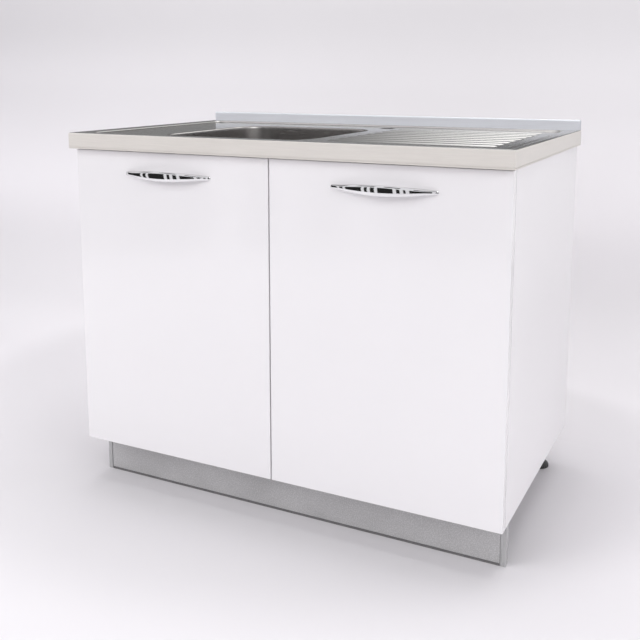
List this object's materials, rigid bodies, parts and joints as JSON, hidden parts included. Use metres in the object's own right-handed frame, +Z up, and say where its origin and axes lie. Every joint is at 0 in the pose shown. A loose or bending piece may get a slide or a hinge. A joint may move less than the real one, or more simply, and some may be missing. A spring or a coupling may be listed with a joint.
{
  "type": "kitchen sink unit",
  "caption": "Base cabinet with two hinged doors, bow handles, a plinth and a steel sink top with a bowl, ribbed drainer and rear upstand.",
  "frame": {"origin": "floor level, at the middle of the overall width and depth", "axes": "+X right along the front, +Y into the depth towards the wall, +Z up"},
  "size_m": [1, 0.607, 0.838],
  "materials": {
    "door_gloss": "white high-gloss faced board",
    "carcass_white": "white melamine board, satin",
    "back_white": "white-faced hardboard, matt",
    "dowel_wood": "raw beech",
    "leg_black": "black moulded plastic",
    "plinth_grey": "board faced with brushed metal-look foil",
    "seal_grey": "flexible grey seal",
    "trim_grey": "satin metal-look profile",
    "band_laminate": "warm light grey laminate edge",
    "zinc_steel": "zinc-plated steel",
    "stainless": "satin stainless sheet",
    "stainless_cast": "polished stainless",
    "gasket_black": "black rubber",
    "trap_white": "white polypropylene",
    "handle_chrome": "polished chrome",
    "bumper_clear": "soft translucent pad",
    "hinge_nickel": "nickel-plated steel"
  },
  "bodies": {
    "cabinet": {"side_panel_left": "carcass_white", "side_panel_right": "carcass_white", "bottom_panel": "carcass_white", "front_rail": "carcass_white", "rear_rail": "carcass_white", "back_panel": "back_white", "panel_dowels": "dowel_wood", "leg_socket_front_left": "leg_black", "leg_socket_front_right": "leg_black", "leg_socket_rear_left": "leg_black", "leg_socket_rear_right": "leg_black", "band_front": "band_laminate", "band_rear": "band_laminate", "band_left": "band_laminate", "band_right": "band_laminate", "joining_straps": "zinc_steel", "sink_deck": "stainless", "sink_bowl": "stainless", "upstand": "stainless", "waste_body": "stainless_cast", "waste_gasket": "gasket_black", "waste_nut": "trap_white", "trap_nut": "trap_white", "trap_body": "trap_white", "outlet_nut": "trap_white", "outlet_pipe": "trap_white", "hinge_arms_left": "hinge_nickel", "hinge_plates_left": "hinge_nickel", "hinge_plate_screws_left": "zinc_steel", "hinge_arms_right": "hinge_nickel", "hinge_plates_right": "hinge_nickel", "hinge_plate_screws_right": "zinc_steel"},
    "left_door": {"door_left": "door_gloss", "handle_left": "handle_chrome", "handle_screws_left": "zinc_steel", "door_bumpers_left": "bumper_clear", "hinge_cups_left": "hinge_nickel", "hinge_cup_screws_left": "zinc_steel", "hinge_pins_left": "hinge_nickel"},
    "right_door": {"door_right": "door_gloss", "handle_right": "handle_chrome", "handle_screws_right": "zinc_steel", "door_bumpers_right": "bumper_clear", "hinge_cups_right": "hinge_nickel", "hinge_cup_screws_right": "zinc_steel", "hinge_pins_right": "hinge_nickel"},
    "left_hinge_links": {"hinge_links_left": "hinge_nickel"},
    "right_hinge_links": {"hinge_links_right": "hinge_nickel"},
    "front_left_foot": {"foot_front_left": "leg_black"},
    "front_right_foot": {"foot_front_right": "leg_black"},
    "rear_left_foot": {"foot_rear_left": "leg_black"},
    "rear_right_foot": {"foot_rear_right": "leg_black"},
    "plinth": {"plinth_board": "plinth_grey", "plinth_seal": "seal_grey", "plinth_end_left": "trim_grey", "plinth_end_right": "trim_grey", "plinth_clips": "leg_black"},
    "strainer": {"strainer_basket": "stainless_cast"},
    "trap_bottle": {"trap_cup": "trap_white"}
  },
  "joints": [
    {"name": "left_door_swing", "type": "hinge", "parent": "cabinet", "child": "left_door", "pos_m": [-0.488, -0.2725, 0.4385], "axis": [0, 0, -1], "range_deg": [0, 100]},
    {"name": "right_door_swing", "type": "hinge", "parent": "cabinet", "child": "right_door", "pos_m": [0.488, -0.2725, 0.4385], "axis": [0, 0, 1], "range_deg": [0, 100]},
    {"name": "left_link_fold", "type": "hinge", "parent": "left_door", "child": "left_hinge_links", "pos_m": [-0.481, -0.2645, 0.4385], "axis": [0, 0, 1], "range_deg": [0, 97.5]},
    {"name": "right_link_fold", "type": "hinge", "parent": "right_door", "child": "right_hinge_links", "pos_m": [0.481, -0.2645, 0.4385], "axis": [0, 0, -1], "range_deg": [0, 97.5]},
    {"name": "plinth_pull_off", "type": "slide", "parent": "cabinet", "child": "plinth", "axis": [0, -1, 0], "range_m": [0, 0.06]},
    {"name": "strainer_lift", "type": "slide", "parent": "cabinet", "child": "strainer", "axis": [0, 0, 1], "range_m": [0, 0.08]},
    {"name": "trap_bottle_unscrew", "type": "slide", "parent": "cabinet", "child": "trap_bottle", "axis": [0, 0, -1], "range_m": [0, 0.06]},
    {"name": "front_left_foot_height", "type": "slide", "parent": "cabinet", "child": "front_left_foot", "axis": [0, 0, -1], "range_m": [-0.015, 0.02]},
    {"name": "front_right_foot_height", "type": "slide", "parent": "cabinet", "child": "front_right_foot", "axis": [0, 0, -1], "range_m": [-0.015, 0.02]},
    {"name": "rear_left_foot_height", "type": "slide", "parent": "cabinet", "child": "rear_left_foot", "axis": [0, 0, -1], "range_m": [-0.015, 0.02]},
    {"name": "rear_right_foot_height", "type": "slide", "parent": "cabinet", "child": "rear_right_foot", "axis": [0, 0, -1], "range_m": [-0.015, 0.02]}
  ],
  "couplings": [
    {"joint": "left_link_fold", "follows": "left_door_swing", "ratio": 0.97},
    {"joint": "right_link_fold", "follows": "right_door_swing", "ratio": 0.97}
  ]
}
